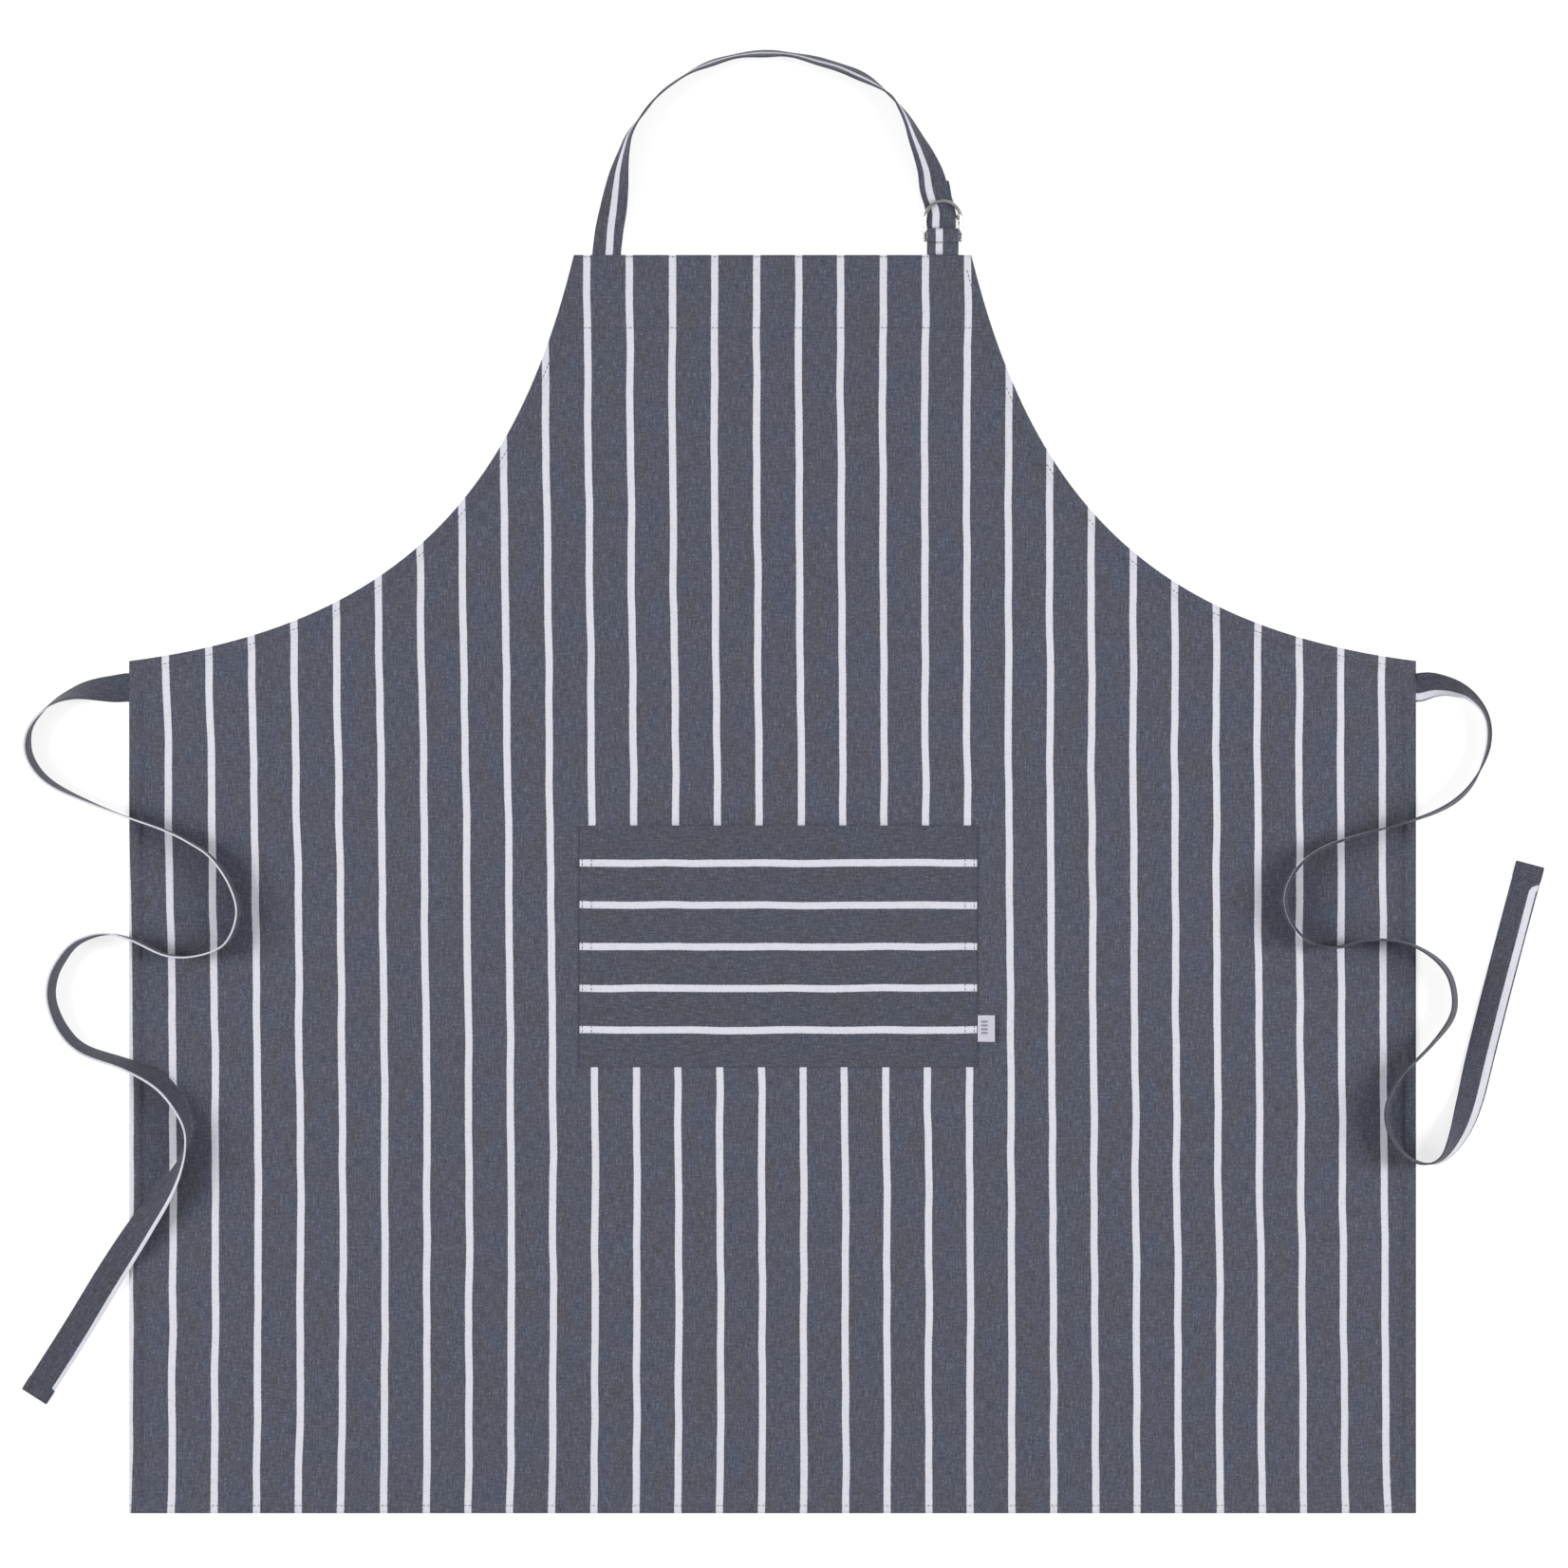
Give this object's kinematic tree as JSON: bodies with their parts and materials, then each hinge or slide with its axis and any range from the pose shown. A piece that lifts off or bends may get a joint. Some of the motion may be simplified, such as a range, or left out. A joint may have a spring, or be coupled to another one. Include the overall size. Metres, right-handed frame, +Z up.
{
  "type": "butcher apron",
  "caption": "Striped butcher apron laid flat, with a wide bib, a patch pocket, a standing neck strap with D-rings and two loosely laid waist ties.",
  "frame": {"origin": "middle of the panel's back face, on the resting plane", "axes": "+X across the apron, +Y up the apron to the bib and neck strap, +Z up from the cloth to the side that shows"},
  "size_m": [1.0646, 1.0231, 0.0222],
  "materials": {
    "striped_cloth": "heathered slate-blue cotton with narrow pale stripes",
    "tape": "folded strip of the striped cotton",
    "label_cloth": "woven satin",
    "thread": "matt sewing thread",
    "ring_metal": "bright nickel plate"
  },
  "bodies": {
    "apron": {"body_panel": "striped_cloth", "bib_hem": "striped_cloth", "left_armhole_hem": "striped_cloth", "right_armhole_hem": "striped_cloth", "left_side_hem": "striped_cloth", "right_side_hem": "striped_cloth", "bottom_hem": "striped_cloth", "pocket_panel": "striped_cloth", "pocket_mouth_hem": "striped_cloth", "pocket_left_turning": "striped_cloth", "pocket_right_turning": "striped_cloth", "pocket_bottom_turning": "striped_cloth", "neck_strap": "tape", "ring_holder": "tape", "rear_ring": "ring_metal", "left_tie_root": "tape", "right_tie_root": "tape", "bib_hem_stitching": "thread", "bib_edge_stitching": "thread", "left_armhole_stitching": "thread", "right_armhole_stitching": "thread", "left_side_stitching": "thread", "right_side_stitching": "thread", "bottom_hem_stitching": "thread", "pocket_left_stitching": "thread", "pocket_right_stitching": "thread", "pocket_bottom_stitching": "thread", "pocket_mouth_stitching": "thread", "strap_box_stitching": "thread", "holder_box_stitching": "thread"},
    "front_ring": {"front_ring": "ring_metal"},
    "label": {"label": "label_cloth"},
    "left_tie": {"left_tie": "tape", "left_tie_end_stitching": "thread"},
    "right_tie": {"right_tie": "tape", "right_tie_end_stitching": "thread"}
  },
  "joints": [
    {"name": "front_ring_swing", "type": "hinge", "parent": "apron", "child": "front_ring", "pos_m": [0.119, 0.4555, 0.0053], "axis": [1, 0, 0], "range_deg": [0, 150]},
    {"name": "label_flap", "type": "hinge", "parent": "apron", "child": "label", "pos_m": [0.1434, -0.101, 0.0018], "axis": [0, -1, 0], "range_deg": [0, 120]},
    {"name": "left_tie_swing", "type": "hinge", "parent": "apron", "child": "left_tie", "pos_m": [-0.5175, 0.11, 0.01], "axis": [0, 0, 1], "range_deg": [-15, 0]},
    {"name": "right_tie_swing", "type": "hinge", "parent": "apron", "child": "right_tie", "pos_m": [0.5, 0.1025, 0.01], "axis": [0, 0, 1], "range_deg": [0, 15]}
  ]
}
